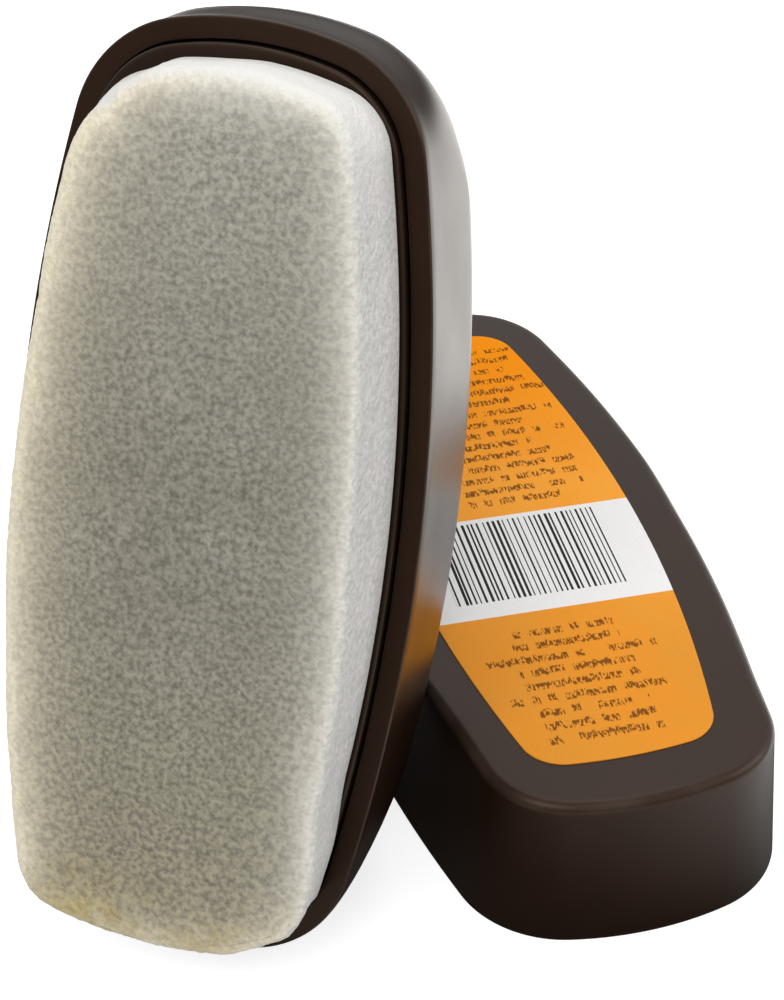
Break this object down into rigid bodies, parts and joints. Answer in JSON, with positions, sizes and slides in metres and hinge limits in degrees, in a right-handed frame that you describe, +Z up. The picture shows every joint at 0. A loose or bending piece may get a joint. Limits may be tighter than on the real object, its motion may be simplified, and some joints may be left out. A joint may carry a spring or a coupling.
{
  "type": "shoe shine sponge",
  "caption": "Oval shoe shine sponge in a hand-grip holder that leans against its loose lid; the soaked foam face gives when pressed on a shoe.",
  "frame": {"origin": "middle of the whole set's footprint on the floor that the lid and the holder stand on", "axes": "+Z up, +Y along the lid's length, +X from the leaning holder towards the lid"},
  "size_m": [0.1196, 0.1344, 0.1267],
  "materials": {
    "case_plastic": "satin",
    "frame_plastic": "satin",
    "plate_plastic": "matte",
    "label_paper": "satin",
    "felt": "matte",
    "white_foam": "matte",
    "soaked_foam": "matte"
  },
  "bodies": {
    "lid": {"lid_shell": "case_plastic", "lid_label": "label_paper"},
    "holder": {"holder_shell": "case_plastic", "retaining_frame": "frame_plastic", "carrier_plate": "plate_plastic", "reservoir_pad": "felt", "sponge_core": "white_foam"},
    "sponge_pad": {"sponge_face": "soaked_foam"}
  },
  "joints": [
    {"name": "holder_lift", "type": "slide", "parent": "lid", "child": "holder", "axis": [0, 0, 1], "range_m": [0, 0.12]},
    {"name": "face_press", "type": "slide", "parent": "holder", "child": "sponge_pad", "axis": [0.5775, 0.7287, -0.3681], "range_m": [0, 0.006], "stiffness_N_per_m": 600, "deforming": ["sponge_core"]}
  ]
}
